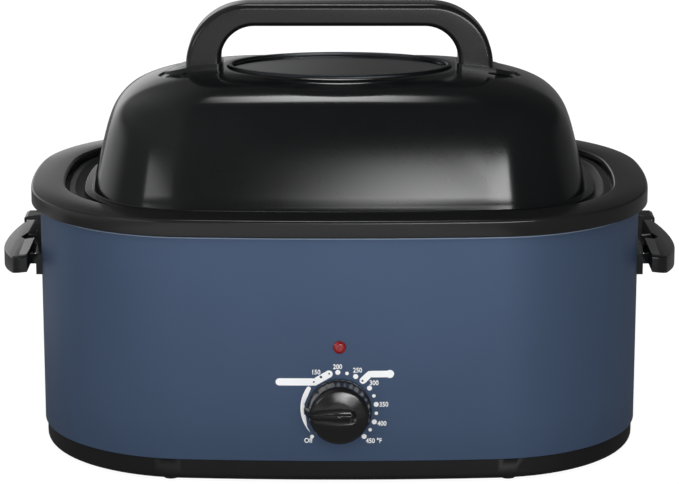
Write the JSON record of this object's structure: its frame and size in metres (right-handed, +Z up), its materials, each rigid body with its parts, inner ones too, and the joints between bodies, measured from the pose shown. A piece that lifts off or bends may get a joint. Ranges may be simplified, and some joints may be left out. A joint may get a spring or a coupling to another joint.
{
  "type": "electric roaster oven",
  "caption": "Oval countertop roaster with a domed lift-off lid, oval window, loop handle, side grips, dial knob, removable pan and wire rack.",
  "frame": {"origin": "on the surface the oven stands on, under the middle of the whole: the knob's face and the cord inlet's end are equally far from it, which puts the middle of the body 8 mm behind it", "axes": "+X across the front, to the right as seen by the user; +Y from the front to the back; +Z up"},
  "size_m": [0.625, 0.406, 0.4029],
  "materials": {
    "blue_enamel": "satin",
    "base_plastic": "matt",
    "rim_plastic": "semi-matt",
    "handle_plastic": "semi-matt",
    "knob_plastic": "satin",
    "pad_plastic": "satin",
    "foot_rubber": "matt",
    "lid_enamel": "gloss",
    "pan_enamel": "satin",
    "well_enamel": "satin",
    "window_trim": "satin",
    "window_rubber": "matt",
    "window_glass": "polished",
    "zinc_steel": "satin",
    "rack_wire": "bright",
    "brass_fittings": "satin",
    "copper_sensor": "satin",
    "heater_mica": "satin",
    "glass_fibre": "matt",
    "thermostat_case": "matt",
    "terminal_ceramic": "matt",
    "lead_sleeving": "matt",
    "lens_red": "gloss",
    "lamp_glass": "gloss"
  },
  "bodies": {
    "root": {"base_tray": "base_plastic", "rubber_feet": "foot_rubber", "base_screws": "zinc_steel", "base_nuts": "zinc_steel", "heat_shield": "zinc_steel", "outer_wall": "blue_enamel", "rim_bezel": "rim_plastic", "cooking_well": "well_enamel", "rim_screws": "zinc_steel", "heating_band": "heater_mica", "band_clamp": "zinc_steel", "band_terminals": "zinc_steel", "well_insulation": "glass_fibre", "thermostat_body": "thermostat_case", "thermostat_bracket": "zinc_steel", "thermostat_nut": "brass_fittings", "sensor_bulb": "copper_sensor", "indicator_lens": "lens_red", "lens_clip": "zinc_steel", "neon_lamp": "lamp_glass", "cord_gland": "rim_plastic", "gland_nut": "rim_plastic", "terminal_block": "terminal_ceramic", "mains_leads": "lead_sleeving", "right_side_handle": "handle_plastic", "left_side_handle": "handle_plastic", "side_handle_screws": "zinc_steel"},
    "knob": {"control_knob": "knob_plastic", "thermostat_shaft": "brass_fittings"},
    "pan": {"roasting_pan": "pan_enamel"},
    "rack": {"rack_grid": "rack_wire", "rack_handles": "rack_wire"},
    "lid": {"lid_shell": "lid_enamel", "window_bezel": "window_trim", "window_gasket": "window_rubber", "window_retainer": "zinc_steel", "window_glass": "window_glass", "lid_handle": "handle_plastic", "handle_pads": "pad_plastic", "handle_washers": "zinc_steel", "handle_screws": "zinc_steel"}
  },
  "joints": [
    {"name": "knob_turn", "type": "hinge", "parent": "root", "child": "knob", "pos_m": [0, -0.179, 0.0705], "axis": [0, 1, 0], "range_deg": [-45, 230]},
    {"name": "pan_lift", "type": "slide", "parent": "root", "child": "pan", "axis": [0, 0, 1], "range_m": [0, 0.2]},
    {"name": "rack_lift", "type": "slide", "parent": "pan", "child": "rack", "axis": [0, 0, 1], "range_m": [0, 0.2]},
    {"name": "lid_lift", "type": "slide", "parent": "rack", "child": "lid", "axis": [0, 0, 1], "range_m": [0, 0.2]}
  ]
}
